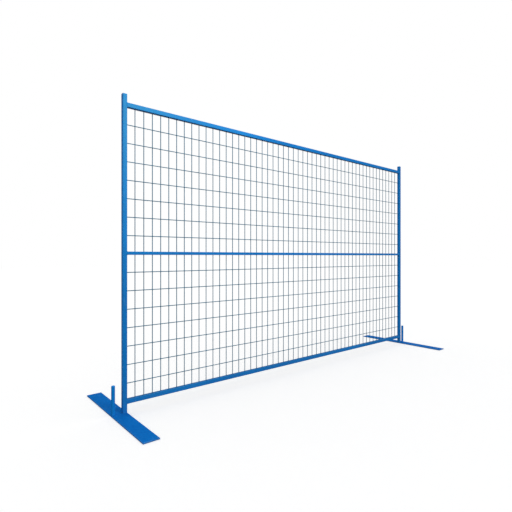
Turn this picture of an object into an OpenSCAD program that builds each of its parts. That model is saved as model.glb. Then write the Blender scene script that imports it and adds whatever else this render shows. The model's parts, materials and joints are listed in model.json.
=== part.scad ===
// Temporary fence panel: a welded square tube frame with a wire mesh infill,
// standing on two steel foot plates whose pins reach up into its posts.
// X runs along the panel, Y points to its back, Z is up. The origin is on the
// ground, under the middle of the panel. All sizes are in millimetres.

/* [Frame] */
// Width over the outer faces of the two posts
panel_w = 2900; // [1800:10:3600]
// Length of each post
post_h = 1800; // [1200:10:2400]
// Outside width of the square tube of the posts and of the top and bottom rails
tube = 25.4; // [20:0.1:40]
// Wall of every tube
wall = 1.5; // [1:0.1:2.5]
// Outside corner radius of every tube
corner_r = 2; // [1.5:0.1:4]
// Outside width of the square tube of the middle rail
mid_tube = 19; // [14:0.5:20]
// From each end of a post to the centre line of the rail near it
rail_inset = 60; // [40:1:150]

/* [Mesh] */
// Diameter of the mesh wire
wire_d = 4.8; // [2.5:0.1:5]
// Number of upright wires, evenly spaced between the posts
upright_count = 52; // [20:1:80]
// Number of cross wires, evenly spaced between two rails
cross_count = 7; // [2:1:12]
// How far the cross wires lie below that even spacing
cross_drop = 4.5; // [0:0.5:10]
// Gap left at a welded crossing, so that the wires do not overlap
weld_gap = 0.05; // [0.02:0.01:0.1]

/* [Feet] */
// Length of a foot plate, across the panel
foot_l = 845; // [500:5:1200]
// Thickness of a foot plate
foot_t = 7; // [4:0.5:12]
// Centre distance of the two pins of a foot
pin_spacing = 63.5; // [55:0.5:90]
// Height of a pin above the plate
pin_h = 163; // [80:1:250]
// Free play between a pin and each inner face of a post
pin_play = 1; // [0.5:0.1:2]
// Chamfer that leads a post onto a pin
pin_chamfer = 2; // [0.5:0.1:4]
// Margin of the plate outside a pin
pin_margin = 2.25; // [1:0.25:15]
// Diameter of the spigot under a pin, which sits in a pocket of the plate
spigot_d = 10; // [6:0.5:11]
// Clearance of a spigot in its pocket, at its side and under its end
spigot_clearance = 0.05; // [0.02:0.01:0.1]
// Thickness of the plate left under a pocket
pocket_floor = 3; // [1.5:0.5:3.5]

/* [Hidden] */
$fn = 64;
frame_color = "#0d66bd";
wire_color = "#044a60";
foot_color = "#0a5cb4";

// The inside corners of a tube stay round, also where the wall is thick
least_r = 0.2;
inner_r = max(corner_r - wall, least_r);

// Posts and rails
post_x = panel_w / 2 - tube / 2;
post_z = foot_t;
rail_l = panel_w - 2 * tube;
bottom_z = post_z + rail_inset;
top_z = post_z + post_h - rail_inset;
mid_z = (bottom_z + top_z) / 2;
// The middle rail is flush with the front of the posts, and the mesh runs behind it
mid_y = (mid_tube - tube) / 2;

// Mesh
upright_y = mid_y + mid_tube / 2 + weld_gap + wire_d / 2;
upright_z = bottom_z + tube / 2;
upright_l = top_z - bottom_z - tube;
upright_pitch = rail_l / (upright_count + 1);
cross_y = upright_y - wire_d - weld_gap;
cross_pitch = (mid_z - bottom_z) / (cross_count + 1);

// Feet: the inner pin of each stands on the axis of its post
pin_d = tube - 2 * wall - 2 * pin_play;
foot_w = pin_spacing + pin_d + 2 * pin_margin;
free_pin_x = post_x + pin_spacing;
foot_x = (post_x + free_pin_x) / 2;
spigot_z = pocket_floor + spigot_clearance;

// Names of the repeated nodes, counted from the bottom and from the left
upright_groups = 4;
function two_digits(n) = str(n < 10 ? "0" : "", n);
function group_start(g) = floor(g * upright_count / upright_groups);
cross_names = [for (i = [1 : 2 * cross_count]) str("cross_wire_", two_digits(i))];
upright_names = [for (g = [1 : upright_groups]) str("upright_wires_", g)];

// Outline of a square with round corners, centred
module rounded_square(size, r) {
    square([size - 2 * r, size], center = true);
    square([size, size - 2 * r], center = true);
    for (x = [-1, 1], y = [-1, 1])
        translate([x * (size / 2 - r), y * (size / 2 - r)]) circle(r);
}

// Upright square tube, standing on the origin
module square_tube(size, length) {
    linear_extrude(length) difference() {
        rounded_square(size, corner_r);
        rounded_square(size - 2 * wall, inner_r);
    }
}

// The side is -1 for the left and 1 for the right
module post(side) {
    color(frame_color) translate([side * post_x, 0, post_z]) square_tube(tube, post_h);
}

module rail(size, y, z) {
    color(frame_color)
        translate([-rail_l / 2, y, z]) rotate([0, 90, 0]) square_tube(size, rail_l);
}

// The lower wires come first, and the middle rail takes the place of one wire
module cross_wire(i) {
    step = i < cross_count ? i + 1 : i + 2;
    color(wire_color)
        translate([-rail_l / 2, cross_y, bottom_z + step * cross_pitch - cross_drop])
            rotate([0, 90, 0]) cylinder(d = wire_d, h = rail_l);
}

module upright_wires(g) {
    color(wire_color)
        for (i = [group_start(g) : group_start(g + 1) - 1])
            translate([-rail_l / 2 + (i + 1) * upright_pitch, upright_y, upright_z])
                cylinder(d = wire_d, h = upright_l);
}

module foot_plate(side) {
    color(foot_color) difference() {
        translate([side * foot_x - foot_w / 2, -foot_l / 2, 0]) cube([foot_w, foot_l, foot_t]);
        for (x = [post_x, free_pin_x])
            translate([side * x, 0, pocket_floor])
                cylinder(d = spigot_d + 2 * spigot_clearance, h = foot_t);
    }
}

// A pin stands on the plate with its shoulder, and its spigot centres it in the pocket
module foot_pin(x) {
    color(foot_color) translate([x, 0, 0]) {
        translate([0, 0, spigot_z]) cylinder(d = spigot_d, h = foot_t - spigot_z);
        translate([0, 0, foot_t]) cylinder(d = pin_d, h = pin_h - pin_chamfer);
        translate([0, 0, foot_t + pin_h - pin_chamfer])
            cylinder(d1 = pin_d, d2 = pin_d - 2 * pin_chamfer, h = pin_chamfer);
    }
}

post(-1);  // left_post
post(1);  // right_post
rail(tube, 0, top_z);  // top_rail
rail(mid_tube, mid_y, mid_z);  // mid_rail
rail(tube, 0, bottom_z);  // bottom_rail
for (i = [0 : 2 * cross_count - 1])
    cross_wire(i);
for (g = [0 : upright_groups - 1])
    upright_wires(g);
foot_plate(-1);  // left_foot_plate
foot_pin(-post_x);  // left_socket_pin
foot_pin(-free_pin_x);  // left_free_pin
foot_plate(1);  // right_foot_plate
foot_pin(post_x);  // right_socket_pin
foot_pin(free_pin_x);  // right_free_pin
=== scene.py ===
import json
import math
import random
import bmesh
import bpy
from mathutils import Matrix, Vector

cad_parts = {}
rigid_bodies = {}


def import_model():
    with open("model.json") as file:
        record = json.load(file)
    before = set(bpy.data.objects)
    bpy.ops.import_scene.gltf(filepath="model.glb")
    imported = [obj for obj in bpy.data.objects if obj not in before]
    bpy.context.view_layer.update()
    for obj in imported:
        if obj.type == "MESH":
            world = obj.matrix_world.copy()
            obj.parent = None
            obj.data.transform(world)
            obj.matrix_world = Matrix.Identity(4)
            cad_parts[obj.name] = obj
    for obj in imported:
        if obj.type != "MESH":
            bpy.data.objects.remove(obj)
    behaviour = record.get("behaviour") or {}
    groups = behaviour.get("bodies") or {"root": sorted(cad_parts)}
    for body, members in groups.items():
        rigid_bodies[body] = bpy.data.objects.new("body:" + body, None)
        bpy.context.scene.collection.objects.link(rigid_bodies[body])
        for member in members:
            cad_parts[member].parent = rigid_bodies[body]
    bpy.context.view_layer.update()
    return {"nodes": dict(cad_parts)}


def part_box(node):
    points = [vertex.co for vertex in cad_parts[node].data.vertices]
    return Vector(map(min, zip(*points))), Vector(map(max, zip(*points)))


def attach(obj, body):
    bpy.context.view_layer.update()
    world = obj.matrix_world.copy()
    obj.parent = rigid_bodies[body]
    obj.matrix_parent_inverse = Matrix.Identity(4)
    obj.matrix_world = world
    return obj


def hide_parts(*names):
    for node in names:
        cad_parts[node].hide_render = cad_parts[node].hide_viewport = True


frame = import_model()
for spare in [o for o in bpy.context.scene.objects if o.type in {"CAMERA", "LIGHT"} or o.name == "Cube"]:
    bpy.data.objects.remove(spare)
bpy.context.scene.view_settings.view_transform = "Standard"
dice = random.Random(11)  # the same small irregularities on every run
xAxis, yAxis, zAxis = range(3)
slack = 1e-5  # metres, for telling which vertices lie on a face
print("frame loaded,", len(frame["nodes"]), "nodes")


# camera: level, at the photograph's place
cameraLook = {"spot": (-2.3074, -2.2127, 0.8910), "yaw": 39.7228, "lens": 28.076, "sensor": 36, "reach": 100}

cameraData = bpy.data.cameras.new("camera")
cameraData.sensor_width = cameraLook["sensor"]
cameraData.lens = cameraLook["lens"]
cameraData.clip_end = cameraLook["reach"]
camera = bpy.data.objects.new("camera", cameraData)
camera.location = cameraLook["spot"]
camera.rotation_euler = (math.radians(90), 0, math.radians(-cameraLook["yaw"]))
bpy.context.scene.collection.objects.link(camera)
bpy.context.scene.camera = camera


# shader sockets that take part in Python sums
class Link:
    def __init__(self, tree, socket=None):
        self.tree, self.socket = tree, socket

    def node(self, kind, settings=None, sockets=None, out=0):
        made = self.tree.nodes.new(kind)
        for key, value in (settings or {}).items():
            if key == "stops":  # where a ramp from black to white starts and ends
                for stop, place in zip(made.color_ramp.elements, value):
                    stop.position = place
            else:
                setattr(made, key, value)
        for key, value in (sockets or {}).items():
            if isinstance(value, Link):
                self.tree.links.new(value.socket, made.inputs[key])
            else:
                made.inputs[key].default_value = value
        return Link(self.tree, made.outputs[out] if made.outputs else None)

    def sum(self, operation, first, second):
        return self.node("ShaderNodeMath", {"operation": operation}, {0: first, 1: second})

    def __add__(self, other):
        return self.sum("ADD", self, other)

    def __radd__(self, other):
        return self.sum("ADD", other, self)

    def __sub__(self, other):
        return self.sum("SUBTRACT", self, other)

    def __rsub__(self, other):
        return self.sum("SUBTRACT", other, self)

    def __mul__(self, other):
        return self.sum("MULTIPLY", self, other)

    def __rmul__(self, other):
        return self.sum("MULTIPLY", other, self)


def linear(hexColour):  # sRGB to the shader's linear colour
    parts = [int(hexColour[i:i + 2], 16) / 255 for i in (1, 3, 5)]
    return tuple(p / 12.92 if p <= 0.04045 else ((p + 0.055) / 1.055) ** 2.4 for p in parts) + (1,)


def newFinish(name):
    finish = bpy.data.materials.new(name)
    finish.use_nodes = True
    finish.node_tree.nodes.clear()
    return finish, Link(finish.node_tree)


def noise(link, coords, grain):  # the grain is a scale, a detail and a roughness
    scale, detail, rough = grain
    return link.node("ShaderNodeTexNoise", {},
                     {"Vector": coords, "Scale": scale, "Detail": detail, "Roughness": rough})


def ramp(link, value, stops):
    return link.node("ShaderNodeValToRGB", {"stops": stops}, {0: value})


def vertexShare(link, name):  # a number from 0 to 1 kept on the vertices
    return link.node("ShaderNodeAttribute", {"attribute_name": name}, out=2)


def blend(link, share, first, second):  # mixes two colours
    return link.node("ShaderNodeMix", {"data_type": "RGBA", "clamp_factor": True},
                     {0: share, 6: first, 7: second}, out=2)


# powder coat: two blues in slow drifts, orange peel, bright worn edges, scuffs, dust low down, and painted
# shade on the upper face of the low rail
def powderCoat(name, look):
    finish, link = newFinish(name)
    coords = link.node("ShaderNodeTexCoord", out="Object")
    height = link.node("ShaderNodeSeparateXYZ", {}, {0: coords}, out="Z")
    drift = noise(link, coords, look["drift"])
    speckle = noise(link, coords, look["speckle"])
    tone = ramp(link, look["driftShare"] * drift + (1 - look["driftShare"]) * speckle, look["toneRamp"])
    colour = blend(link, tone, linear(look["deep"]), linear(look["light"]))

    edge = vertexShare(link, "edge")  # 1 along bevelled rims
    chips = ramp(link, noise(link, coords, look["chips"]), look["chipRamp"])
    colour = blend(link, edge * chips * look["edgeShare"], colour, linear(look["edgeTint"]))

    streaks = link.node("ShaderNodeMapping", {}, {"Vector": coords, "Scale": look["scuffStretch"]})
    scratches = ramp(link, noise(link, streaks, look["scuffs"]), look["scuffRamp"])
    scuffs = scratches * look["scuffShare"]
    colour = blend(link, scuffs, colour, linear(look["edgeTint"]))

    low = link.sum("MAXIMUM", 1 - height * (1 / look["dustHeight"]), 0)  # 1 on the ground
    clouds = noise(link, coords, look["clouds"])
    dust = low * low * clouds * look["dustShare"]
    colour = blend(link, dust, colour, linear(look["dustTint"]))
    upper = vertexShare(link, "upper")  # 1 on the upper face of a rail
    # painted shade: a dark tint in clouds on the upper face of a rail near the ground
    paintedShade = upper * low * (look["paintedShadeLeast"] + clouds) * look["paintedShadeShare"]
    colour = blend(link, paintedShade, colour, linear(look["paintedShadeTint"]))

    relief = noise(link, coords, look["peel"]) - look["scuffDepth"] * scratches
    bump = link.node("ShaderNodeBump", {}, {
        "Strength": look["peelStrength"], "Distance": look["peelDepth"], "Height": relief})
    rough = look["rough"] + look["speckleRough"] * speckle - look["driftGloss"] * drift
    surface = link.node("ShaderNodeBsdfPrincipled", {}, {
        "Base Color": colour, "Roughness": rough + look["dirtRough"] * (dust + scuffs), "Normal": bump,
        "Metallic": 0.0, "Specular IOR Level": look["gloss"], "Specular Tint": look["glossTint"]})
    link.node("ShaderNodeOutputMaterial", {}, {"Surface": surface})
    return finish


# noises are scale, detail and roughness; a low gloss with a strong tint keeps white sheen off flat glances
framePaintLook = {
    "deep": "#095fa8", "light": "#0f73c1",
    # the dark tint for the upper face of the low rail is painted shade
    "edgeTint": "#6fa6d8", "dustTint": "#8d8b80", "paintedShadeTint": "#07365f",
    "drift": (2.4, 3, 0.5), "speckle": (90, 3, 0.6), "driftShare": 0.5, "toneRamp": (0.34, 0.66),
    "chips": (160, 4, 0.65), "chipRamp": (0.45, 0.7), "edgeShare": 0.5,
    "scuffs": (60, 4, 0.7), "scuffRamp": (0.62, 0.74), "scuffStretch": (1, 1, 0.12), "scuffShare": 0.14,
    "clouds": (34, 5, 0.7), "dustHeight": 0.35, "dustShare": 0.05, "paintedShadeLeast": 0.5, "paintedShadeShare": 0.7,
    "peel": (520, 2, 0.4), "peelStrength": 0.5, "peelDepth": 0.0004, "scuffDepth": 0.35,
    "rough": 0.38, "speckleRough": 0.1, "driftGloss": 0.05, "dirtRough": 0.4,
    "gloss": 0.015, "glossTint": (5, 16, 8, 1)}
# the feet take darker blues than the frame: painted shade on the plates
footPaintWithShadeLook = {
    **framePaintLook, "deep": "#0155a1", "light": "#0366b4", "edgeShare": 0.55,
    "scuffShare": 0.16, "scuffStretch": (1, 0.15, 1), "dustShare": 0.02, "dustHeight": 0.2,
    "rough": 0.58, "gloss": 0.004, "glossTint": (1, 6, 6, 1)}
# the pins take lighter blues than the feet: painted light that brightens them
pinPaintWithLightLook = {**footPaintWithShadeLook, "deep": "#0b6dbb", "light": "#0f79c8", "scuffStretch": (1, 1, 0.15)}
wireCoatLook = {
    **framePaintLook, "deep": "#02546e", "light": "#046484", "edgeTint": "#4f8aa6",
    "drift": (6, 3, 0.5), "speckle": (240, 3, 0.6), "edgeShare": 0.2, "scuffStretch": (1, 1, 1),
    "dustShare": 0.02, "rough": 0.5, "gloss": 0.02, "glossTint": (4, 4.6, 5, 1)}

framePaint = powderCoat("frame_paint_coat", framePaintLook)
footPaintWithShade = powderCoat("foot_paint_with_shade_coat", footPaintWithShadeLook)
pinPaintWithLight = powderCoat("pin_paint_with_light_coat", pinPaintWithLightLook)
wireCoat = powderCoat("mesh_wire_coat", wireCoatLook)
print("finishes ready")


def block(low, high):
    bm = bmesh.new()
    bmesh.ops.create_cube(bm, size=1)
    bmesh.ops.scale(bm, vec=high - low, verts=bm.verts)
    bmesh.ops.translate(bm, vec=(low + high) / 2, verts=bm.verts)
    return bm


def bevelEdges(bm, edges, width, segments):
    bmesh.ops.bevel(bm, geom=edges, offset=width, offset_type="OFFSET", segments=segments,
                    profile=0.5, affect="EDGES", material=-1, clamp_overlap=True)


def sharpEdges(edges, least):  # those where two faces meet at more than an angle, in radians
    return [e for e in edges if len(e.link_faces) == 2 and e.calc_face_angle(0) > least]


def cutAcross(bm, axis, places):  # adds a line of edges round the shape at each place along an axis
    for place in places:
        spot, normal = Vector((0, 0, 0)), Vector((0, 0, 0))
        spot[axis], normal[axis] = place, 1
        bmesh.ops.bisect_plane(bm, geom=[*bm.verts, *bm.edges, *bm.faces], plane_co=spot, plane_no=normal)


def pullCap(bm, cap, move, grow, centre):  # extrudes an end face, then scales it about a centre
    pulled = bmesh.ops.extrude_face_region(bm, geom=[cap])["geom"]
    ring = [v for v in pulled if isinstance(v, bmesh.types.BMVert)]
    bmesh.ops.translate(bm, vec=move, verts=ring)
    bmesh.ops.scale(bm, vec=grow, verts=ring, space=Matrix.Translation(-centre))
    return next(f for f in pulled if isinstance(f, bmesh.types.BMFace))


def standing(spot, run):  # a place whose Z axis points along a run
    return Matrix.Translation(spot) @ run.to_track_quat("Z", "Y").to_matrix().to_4x4()


def joinInto(bm, part, spots=(Vector((0, 0, 0)),)):  # lays a small shape into a larger one at each spot
    carrier = bpy.data.meshes.new("carrier")
    part.to_mesh(carrier)
    part.free()
    last = Vector((0, 0, 0))
    for spot in spots:
        carrier.transform(Matrix.Translation(spot - last))
        bm.from_mesh(carrier)
        last = spot
    bpy.data.meshes.remove(carrier)


# turns a bmesh into a piece that rides on its body and stands for its nodes
def placePiece(bm, name, body, finish, nodes=(), edgeVerts=None, upperVerts=None, even=True):
    bmesh.ops.recalc_face_normals(bm, faces=bm.faces)
    mesh = bpy.data.meshes.new(name)
    for share, belongs in (("edge", edgeVerts), ("upper", upperVerts)):
        if belongs is not None:
            layer = bm.verts.layers.float.new(share)
            for vert in bm.verts:
                vert[layer] = 1.0 if belongs(vert.co) else 0.0
    bm.to_mesh(mesh)
    bm.free()
    mesh.shade_smooth()
    mesh.materials.append(finish)
    piece = bpy.data.objects.new(name, mesh)
    bpy.context.scene.collection.objects.link(piece)
    if even:
        piece.modifiers.new("even_normals", "WEIGHTED_NORMAL").keep_sharp = True
    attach(piece, body)
    if nodes:
        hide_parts(*nodes)


# square tube: a block with rolled corners, its ends inset and the bore bridged through
tubeLook = {"corner": 0.002, "cornerSegments": 6, "wall": 0.0015, "endFacing": 0.9, "sharp": 1.2,
            "rimBevel": 0.0003, "rimSegments": 2, "wornRim": 0.0012, "wornFade": 0.004}


def squareTube(node, along, body):
    low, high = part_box(node)
    bm = block(low, high)
    half = (high - low)[along] / 2
    lengths = [e for e in bm.edges if abs((e.verts[0].co - e.verts[1].co)[along]) > half]
    bevelEdges(bm, lengths, tubeLook["corner"], tubeLook["cornerSegments"])
    caps = [f for f in bm.faces if abs(f.normal[along]) > tubeLook["endFacing"]]
    bmesh.ops.inset_region(bm, faces=caps, thickness=tubeLook["wall"], use_even_offset=True)
    boreEdges = [e for f in caps for e in f.edges]
    bmesh.ops.delete(bm, geom=caps, context="FACES_ONLY")
    bmesh.ops.bridge_loops(bm, edges=boreEdges)
    bmesh.ops.recalc_face_normals(bm, faces=bm.faces)
    bevelEdges(bm, sharpEdges(bm.edges, tubeLook["sharp"]), tubeLook["rimBevel"], tubeLook["rimSegments"])
    for reach in (tubeLook["wornRim"], tubeLook["wornFade"]):
        cutAcross(bm, along, (low[along] + reach, high[along] - reach))
    worn = tubeLook["wornRim"] + slack
    placePiece(bm, node + "_tube", body, framePaint, [node],
               lambda co: min(co[along] - low[along], high[along] - co[along]) < worn,
               lambda co: along == xAxis and co.z > high.z - slack)


for post in ("left_post", "right_post"):
    squareTube(post, zAxis, "panel")
for rail in ("top_rail", "mid_rail", "bottom_rail"):
    squareTube(rail, xAxis, "panel")
print("posts and rails made")


# mesh: drawn wires, one piece for each node
wireLook = {"sides": 12, "sharp": 1.2, "endBevel": 0.0006, "endSegments": 2, "uprightsPerGroup": 13}
crossNodes = sorted(n for n in frame["nodes"] if n.startswith("cross_wire_"))
uprightNodes = sorted(n for n in frame["nodes"] if n.startswith("upright_wires_"))


def wire(bm, start, end, radius):
    run = end - start
    made = bmesh.ops.create_cone(
        bm, cap_ends=True, cap_tris=False, segments=wireLook["sides"], radius1=radius, radius2=radius,
        depth=run.length, matrix=standing((start + end) / 2, run))
    edges = {e for v in made["verts"] for e in v.link_edges}
    bevelEdges(bm, sharpEdges(edges, wireLook["sharp"]), wireLook["endBevel"], wireLook["endSegments"])


crossRuns, uprightRuns = [], []
for node in crossNodes:
    low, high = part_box(node)
    middle, radius = (low + high) / 2, (high.z - low.z) / 2
    crossRuns.append((Vector((low.x, middle.y, middle.z)), Vector((high.x, middle.y, middle.z)), radius))
    bm = bmesh.new()
    wire(bm, *crossRuns[-1])
    placePiece(bm, node + "_rod", "panel", wireCoat, [node])
for node in uprightNodes:
    low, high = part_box(node)
    radius, count = (high.y - low.y) / 2, wireLook["uprightsPerGroup"]
    pitch = (high.x - low.x - 2 * radius) / (count - 1)
    bm = bmesh.new()
    for place in range(count):
        x, y = low.x + radius + place * pitch, (low.y + high.y) / 2
        uprightRuns.append((Vector((x, y, low.z)), Vector((x, y, high.z)), radius))
        wire(bm, *uprightRuns[-1])
    placePiece(bm, node + "_rods", "panel", wireCoat, [node])
print("mesh made,", len(crossRuns), "cross wires and", len(uprightRuns), "uprights")


# resistance welds, sized in wire radii: flat at the crossings, blobs at the wire ends and on the middle rail
nuggetLook = {"crossing": (1.3, 0.55, 1.3), "uprightEnd": (1.45, 1.45, 1), "crossEnd": (1, 1.45, 1.45),
              "rail": (1.4, 0.5, 2), "spread": 0.12, "sides": 8, "rings": 4}


def nugget(bm, spot, size, radius):
    grow = radius * (1 + dice.uniform(-1, 1) * nuggetLook["spread"])
    shape = Matrix.Translation(spot) @ Matrix.Diagonal((*[grow * s for s in size], 1))
    bmesh.ops.create_uvsphere(bm, u_segments=nuggetLook["sides"], v_segments=nuggetLook["rings"],
                              radius=1, matrix=shape)


crossingWelds, endWelds = bmesh.new(), bmesh.new()
midLow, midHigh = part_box("mid_rail")
for first in range(0, len(uprightRuns), wireLook["uprightsPerGroup"]):
    group = uprightRuns[first:first + wireLook["uprightsPerGroup"]]
    bottom, top, radius = group[0]
    steps = [run[0] - bottom for run in group]
    column, ends = bmesh.new(), bmesh.new()
    for left, _, _ in crossRuns:
        nugget(column, Vector((bottom.x, (bottom.y + left.y) / 2, left.z)), nuggetLook["crossing"], radius)
    for end in (bottom, top):
        nugget(ends, end, nuggetLook["uprightEnd"], radius)
    nugget(ends, Vector((bottom.x, midHigh.y, (midLow.z + midHigh.z) / 2)), nuggetLook["rail"], radius)
    joinInto(crossingWelds, column, steps)
    joinInto(endWelds, ends, steps)
for left, right, radius in crossRuns:
    ends = bmesh.new()
    for end in (left, right):
        nugget(ends, end, nuggetLook["crossEnd"], radius)
    joinInto(endWelds, ends)
placePiece(crossingWelds, "mesh_crossing_welds", "panel", wireCoat, even=False)
placePiece(endWelds, "mesh_end_welds", "panel", wireCoat, even=False)
print("mesh welds made")


# arc welds of the frame: rippled beads round each rail end
beadLook = {"radius": 0.0024, "sides": 8, "tip": 0.45, "shoulder": 0.8, "leastSteps": 4,
            "ripple": 0.0011, "rippleDepth": 0.12, "wander": 0.05,
            "inset": 0.0012, "proud": 0.0006, "endGap": 0.001, "flush": 0.001}


def bead(start, end):
    run, tip = end - start, beadLook["tip"]
    steps = max(beadLook["leastSteps"], round(run.length / beadLook["ripple"]))
    bm = bmesh.new()
    made = bmesh.ops.create_circle(bm, cap_ends=True, segments=beadLook["sides"],
                                   radius=beadLook["radius"] * tip, matrix=standing(start, run))
    cap, grown = made["verts"][0].link_faces[0], tip
    for step in range(1, steps + 1):
        edgeRound = tip if step == steps else beadLook["shoulder"] if step in (1, steps - 1) else 1
        wander = dice.uniform(-beadLook["wander"], beadLook["wander"])
        wanted = edgeRound * (1 - beadLook["rippleDepth"] * (step % 2) + wander)
        cap = pullCap(bm, cap, run / steps, Vector((1, 1, 1)) * (wanted / grown), start + run * step / steps)
        grown = wanted
    return bm


frameWelds = bmesh.new()
postLow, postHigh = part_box("left_post")
inset, proud, gap = (beadLook[k] for k in ("inset", "proud", "endGap"))
for rail in ("top_rail", "mid_rail", "bottom_rail"):
    low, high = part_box(rail)
    for side, x in ((-1, low.x), (1, high.x)):
        groove = x + side * inset  # in the rolled corner of the post
        fillet = x - side * proud  # in the corner over and under the rail
        for y, push in ((low.y, 1), (high.y, -1)):
            flush = min(abs(y - postLow.y), abs(y - postHigh.y)) < beadLook["flush"]
            spot = (groove, y + push * inset) if flush else (fillet, y - push * proud)
            joinInto(frameWelds, bead(Vector((*spot, low.z + gap)), Vector((*spot, high.z - gap))))
        for z, push in ((low.z, 1), (high.z, -1)):
            level = z - push * proud
            front, back = Vector((fillet, low.y + gap, level)), Vector((fillet, high.y - gap, level))
            joinInto(frameWelds, bead(front, back))
placePiece(frameWelds, "frame_welds", "panel", framePaint, even=False)
print("frame welds made")


# feet: flat bar with eased edges, turned pins with a weld round each base
footLook = {"edge": 0.0012, "edgeSegments": 3, "wornFade": 0.004,
            "pinSides": 48, "pinChamfer": 0.002, "pinEase": 0.0005, "pinEaseSegments": 2, "sharp": 0.5,
            "weldRadius": 0.00075, "weldSides": 8, "weldSteps": 56, "weldMerge": 1e-6}


def footBar(node, body):
    low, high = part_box(node)
    bm = block(low, high)
    bevelEdges(bm, list(bm.edges), footLook["edge"], footLook["edgeSegments"])
    for axis in (xAxis, yAxis):
        cutAcross(bm, axis, (low[axis] + footLook["wornFade"], high[axis] - footLook["wornFade"]))
    worn = footLook["edge"] + slack
    placePiece(bm, node + "_bar", body, footPaintWithShade, [node],
               lambda co: sum(min(co[a] - low[a], high[a] - co[a]) < worn for a in range(3)) > 1)


def footPin(node, plate, body):
    low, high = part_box(node)
    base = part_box(plate)[1].z
    foot = Vector(((low.x + high.x) / 2, (low.y + high.y) / 2, base))
    radius, chamfer = (high.x - low.x) / 2, footLook["pinChamfer"]
    bm = bmesh.new()
    made = bmesh.ops.create_circle(bm, cap_ends=True, segments=footLook["pinSides"], radius=radius,
                                   matrix=Matrix.Translation(foot))
    cap = made["verts"][0].link_faces[0]
    for rise, across in ((high.z - base - chamfer, 1), (chamfer, (radius - chamfer) / radius)):
        cap = pullCap(bm, cap, Vector((0, 0, rise)), Vector((across, across, 1)), foot)
    bmesh.ops.recalc_face_normals(bm, faces=bm.faces)
    rims = [e for e in sharpEdges(bm.edges, footLook["sharp"]) if e.verts[0].co.z > base + radius]
    bevelEdges(bm, rims, footLook["pinEase"], footLook["pinEaseSegments"])
    worn = high.z - chamfer - footLook["pinEase"]
    # the lowest line lies in the weld and keeps the side evenly shaded down to it
    cutAcross(bm, zAxis, (worn, worn - footLook["wornFade"], base + footLook["weldRadius"]))
    placePiece(bm, node + "_bar", body, pinPaintWithLight, [node], lambda co: co.z > worn - slack)

    weld = bmesh.new()
    section = bmesh.ops.create_circle(
        weld, segments=footLook["weldSides"], radius=footLook["weldRadius"],
        matrix=Matrix.Translation(foot + Vector((radius, 0, 0))) @ Matrix.Rotation(math.radians(90), 4, "X"))
    outline = list({e for v in section["verts"] for e in v.link_edges})
    bmesh.ops.spin(weld, geom=outline, cent=foot, axis=(0, 0, 1), angle=math.radians(360),
                   steps=footLook["weldSteps"], use_merge=True)
    bmesh.ops.remove_doubles(weld, verts=weld.verts, dist=footLook["weldMerge"])
    placePiece(weld, node + "_weld", body, footPaintWithShade, even=False)


for side in ("left", "right"):
    footBar(f"{side}_foot_plate", f"{side}_foot")
    footPin(f"{side}_free_pin", f"{side}_foot_plate", f"{side}_foot")
    footPin(f"{side}_socket_pin", f"{side}_foot_plate", f"{side}_pin")
print("feet made")


# studio: white floor and world for what looks at them, plain light for the rest
studioLook = {"worldLight": 0.6, "worldSeen": 1.0, "floorSeen": 0.53, "floorWhite": 0.8, "floorBounce": 0.2,
              "floorSize": 60, "floorDrop": 0.0004}
lampLook = {
    "high_front": {"spot": (-0.95, -1.32, 2.25), "aim": (-1.44, 0, 1.7), "size": (0.6, 0.6), "power": 9},
    "front": {"spot": (-0.6, -5.2, 2.4), "aim": (0, 0, 0.8), "size": (3.0, 2.4), "power": 88},
    "left": {"spot": (-5.6, -0.2, 2.2), "aim": (0, 0, 0.9), "size": (2.4, 2.4), "power": 44},
    "strip": {"spot": (0.3, -3.2, 2.98), "aim": (-0.9, 0, 1.75), "size": (2.2, 0.3), "power": 55},
    "right": {"spot": (5.4, 0.8, 2.2), "aim": (0, 0, 0.9), "size": (2.4, 2.4), "power": 34},
    "back": {"spot": (0.8, 2.8, 4.2), "aim": (0, 0, 0.8), "size": (2.4, 1.6), "power": 60}}
plainWhite = (1, 1, 1, 1)


def seenBy(link):  # 1 for rays that show the background
    rays = link.node("ShaderNodeLightPath").socket.node.outputs
    seen = Link(link.tree, rays["Is Camera Ray"])
    for name in ("Is Glossy Ray", "Is Transmission Ray"):
        seen = link.sum("MAXIMUM", seen, Link(link.tree, rays[name]))
    return seen


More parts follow.
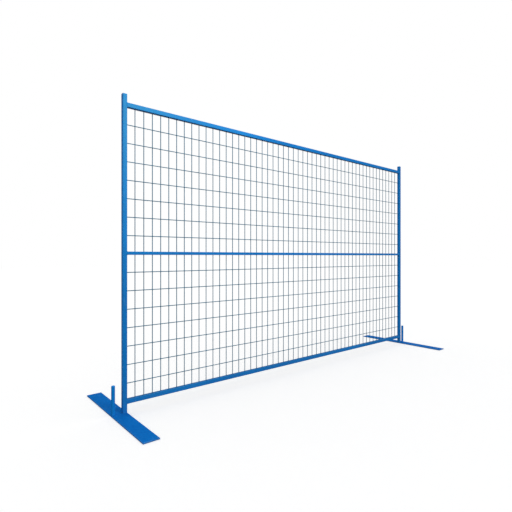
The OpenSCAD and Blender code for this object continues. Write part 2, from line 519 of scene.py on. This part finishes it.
world = bpy.data.worlds.new("studio")
bpy.context.scene.world = world
world.use_nodes = True
world.node_tree.nodes.clear()
link = Link(world.node_tree)
light, white = (link.node("ShaderNodeBackground", {}, {"Color": plainWhite, "Strength": studioLook[k]})
                for k in ("worldLight", "worldSeen"))
sky = link.node("ShaderNodeMixShader", {}, {0: seenBy(link), 1: light, 2: white})
link.node("ShaderNodeOutputWorld", {}, {"Surface": sky})

floorFinish, link = newFinish("floor_white")
seen = seenBy(link)
grey, pale = ((studioLook[k],) * 3 + (1,) for k in ("floorBounce", "floorWhite"))
matt = link.node("ShaderNodeBsdfDiffuse", {}, {"Color": blend(link, seen, grey, pale)})
glow = link.node("ShaderNodeEmission", {}, {"Color": plainWhite, "Strength": seen * studioLook["floorSeen"]})
paper = link.node("ShaderNodeAddShader", {}, {0: matt, 1: glow})
link.node("ShaderNodeOutputMaterial", {}, {"Surface": paper})
bm = bmesh.new()
bmesh.ops.create_grid(bm, x_segments=1, y_segments=1, size=studioLook["floorSize"] / 2,
                      matrix=Matrix.Translation((0, 0, -studioLook["floorDrop"])))
floorMesh = bpy.data.meshes.new("floor")
bm.to_mesh(floorMesh)
bm.free()
floorMesh.materials.append(floorFinish)
floor = bpy.data.objects.new("floor", floorMesh)
bpy.context.scene.collection.objects.link(floor)
unlit = bpy.data.collections.new("unlit")  # the lamps pass the floor by, so it stays evenly white
unlit.objects.link(floor)
unlit.collection_objects[0].light_linking.link_state = "EXCLUDE"

for name, lamp in lampLook.items():
    lampData = bpy.data.lights.new(name, "AREA")
    lampData.shape = "RECTANGLE"
    lampData.size, lampData.size_y = lamp["size"]
    lampData.energy = lamp["power"]
    softbox = bpy.data.objects.new(name, lampData)
    softbox.location = lamp["spot"]
    softbox.rotation_euler = (Vector(lamp["aim"]) - Vector(lamp["spot"])).to_track_quat("-Z", "Y").to_euler()
    softbox.visible_camera = False
    softbox.light_linking.receiver_collection = unlit
    bpy.context.scene.collection.objects.link(softbox)
print("studio lit")
